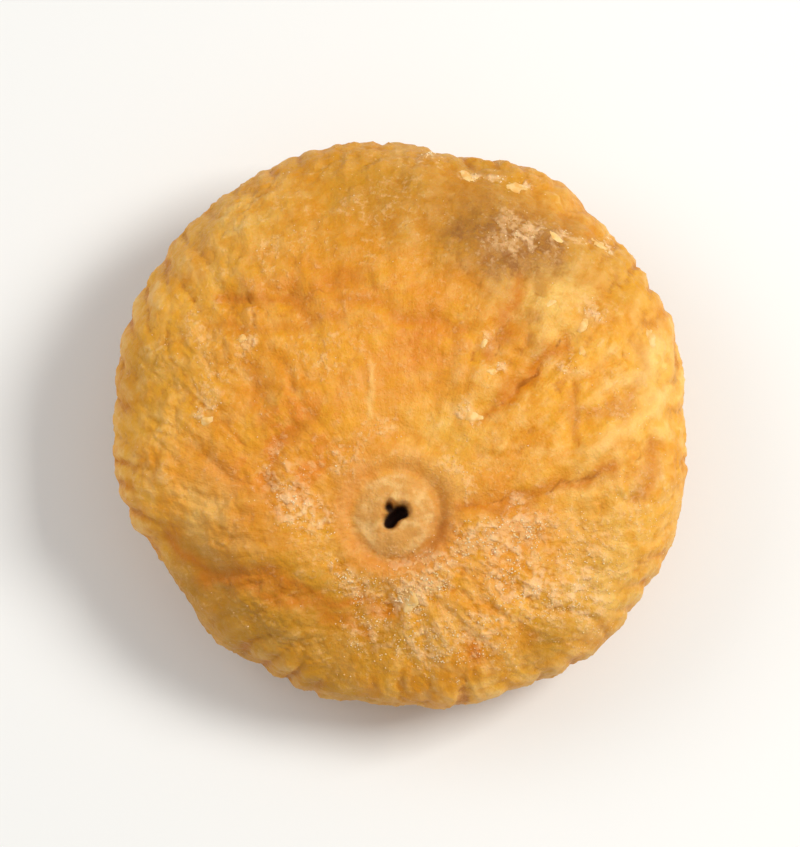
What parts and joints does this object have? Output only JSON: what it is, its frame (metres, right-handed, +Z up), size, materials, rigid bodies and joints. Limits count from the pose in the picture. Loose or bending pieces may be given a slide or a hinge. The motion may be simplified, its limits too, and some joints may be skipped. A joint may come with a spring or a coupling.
{
  "type": "dried fig",
  "caption": "Flat pressed dried fig with a wrinkled, pleated skin, a round stem scar on the top face and an eye on the underside.",
  "frame": {"origin": "under the middle of the fig, on the surface that it rests on", "axes": "+Z up, through the pressed top face; -Y towards the side of the stem scar; +X to the right, seen from that side"},
  "size_m": [0.0498, 0.05, 0.0194],
  "materials": {
    "fig_skin": "dry wrinkled fruit skin, slightly glossy on its backs, ochre to deep orange",
    "sugar_bloom": "dull cream grains of fruit sugar that came out on the skin",
    "eye_scales": "dry brown scales that close the eye"
  },
  "bodies": {
    "root": {"fig": "fig_skin"}
  },
  "joints": []
}
